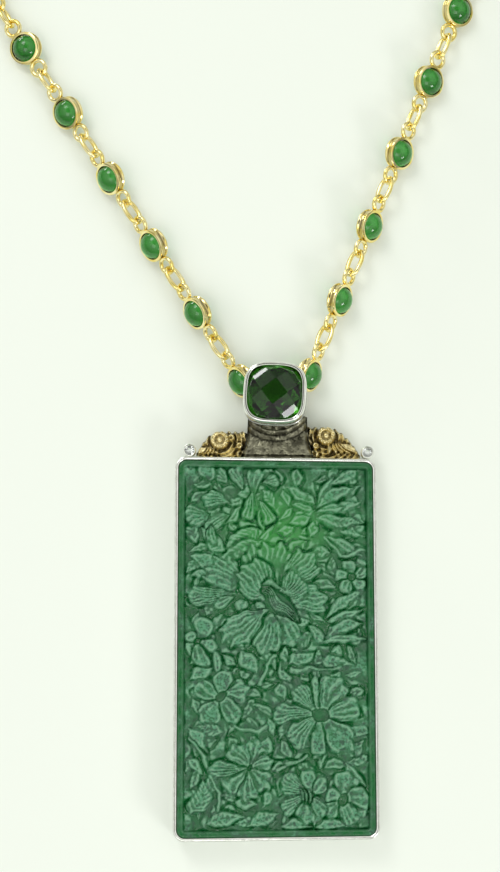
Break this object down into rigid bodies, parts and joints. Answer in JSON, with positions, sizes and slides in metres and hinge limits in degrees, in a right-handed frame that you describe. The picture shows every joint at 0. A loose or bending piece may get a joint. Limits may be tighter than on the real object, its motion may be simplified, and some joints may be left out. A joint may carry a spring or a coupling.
{
  "type": "quartz pendant necklace",
  "caption": "Pendant necklace lying flat: a carved green quartz slab in a silver tray, a cushion cut green gem above it, and a gold chain of round green stones with a hook clasp.",
  "frame": {"origin": "middle of the flat back of the slab's tray", "axes": "+Y up the pendant towards the chain, +Z out of the slab's carved face, -Z the ground it lies on"},
  "size_m": [0.1182, 0.2351, 0.013],
  "materials": {
    "green_quartz": "carved green quartz, frosted on its raised faces and polished in its grooves",
    "silver": "polished silver",
    "oxidised_silver": "dark oxidised silver with rubbed highlights",
    "gilt_bronze": "gilt bronze with dark patina in its recesses",
    "gold": "polished yellow gold",
    "green_glass": "clear green stone, polished to a double dome",
    "dark_green_glass": "clear deep green stone with a checkerboard crown",
    "clear_glass": "clear colourless stone, faceted"
  },
  "bodies": {
    "root": {"plaque": "green_quartz", "plaque_setting": "silver", "neck": "oxidised_silver", "shoulder_left": "gilt_bronze", "shoulder_right": "gilt_bronze", "bail": "silver", "gem_setting": "silver", "gem": "dark_green_glass", "accent_setting_left": "silver", "accent_setting_right": "silver", "accent_stone_left": "clear_glass", "accent_stone_right": "clear_glass", "station_setting_left_1": "gold", "station_stone_left_1": "green_glass", "link_left_1": "gold", "station_setting_left_2": "gold", "station_stone_left_2": "green_glass", "link_left_2": "gold", "station_setting_left_3": "gold", "station_stone_left_3": "green_glass", "link_left_3": "gold", "station_setting_left_4": "gold", "station_stone_left_4": "green_glass", "link_left_4": "gold", "station_setting_left_5": "gold", "station_stone_left_5": "green_glass", "link_left_5": "gold", "station_setting_left_6": "gold", "station_stone_left_6": "green_glass", "link_left_6": "gold", "chain_run_left_lower": "gold", "chain_run_left_upper": "gold", "station_setting_right_1": "gold", "station_stone_right_1": "green_glass", "link_right_1": "gold", "station_setting_right_2": "gold", "station_stone_right_2": "green_glass", "link_right_2": "gold", "station_setting_right_3": "gold", "station_stone_right_3": "green_glass", "link_right_3": "gold", "station_setting_right_4": "gold", "station_stone_right_4": "green_glass", "link_right_4": "gold", "station_setting_right_5": "gold", "station_stone_right_5": "green_glass", "link_right_5": "gold", "station_setting_right_6": "gold", "station_stone_right_6": "green_glass", "link_right_6": "gold", "chain_run_right_lower": "gold", "chain_run_right_upper": "gold", "clasp_link": "gold", "clasp_hook": "gold", "clasp_ring": "gold"}
  },
  "joints": []
}
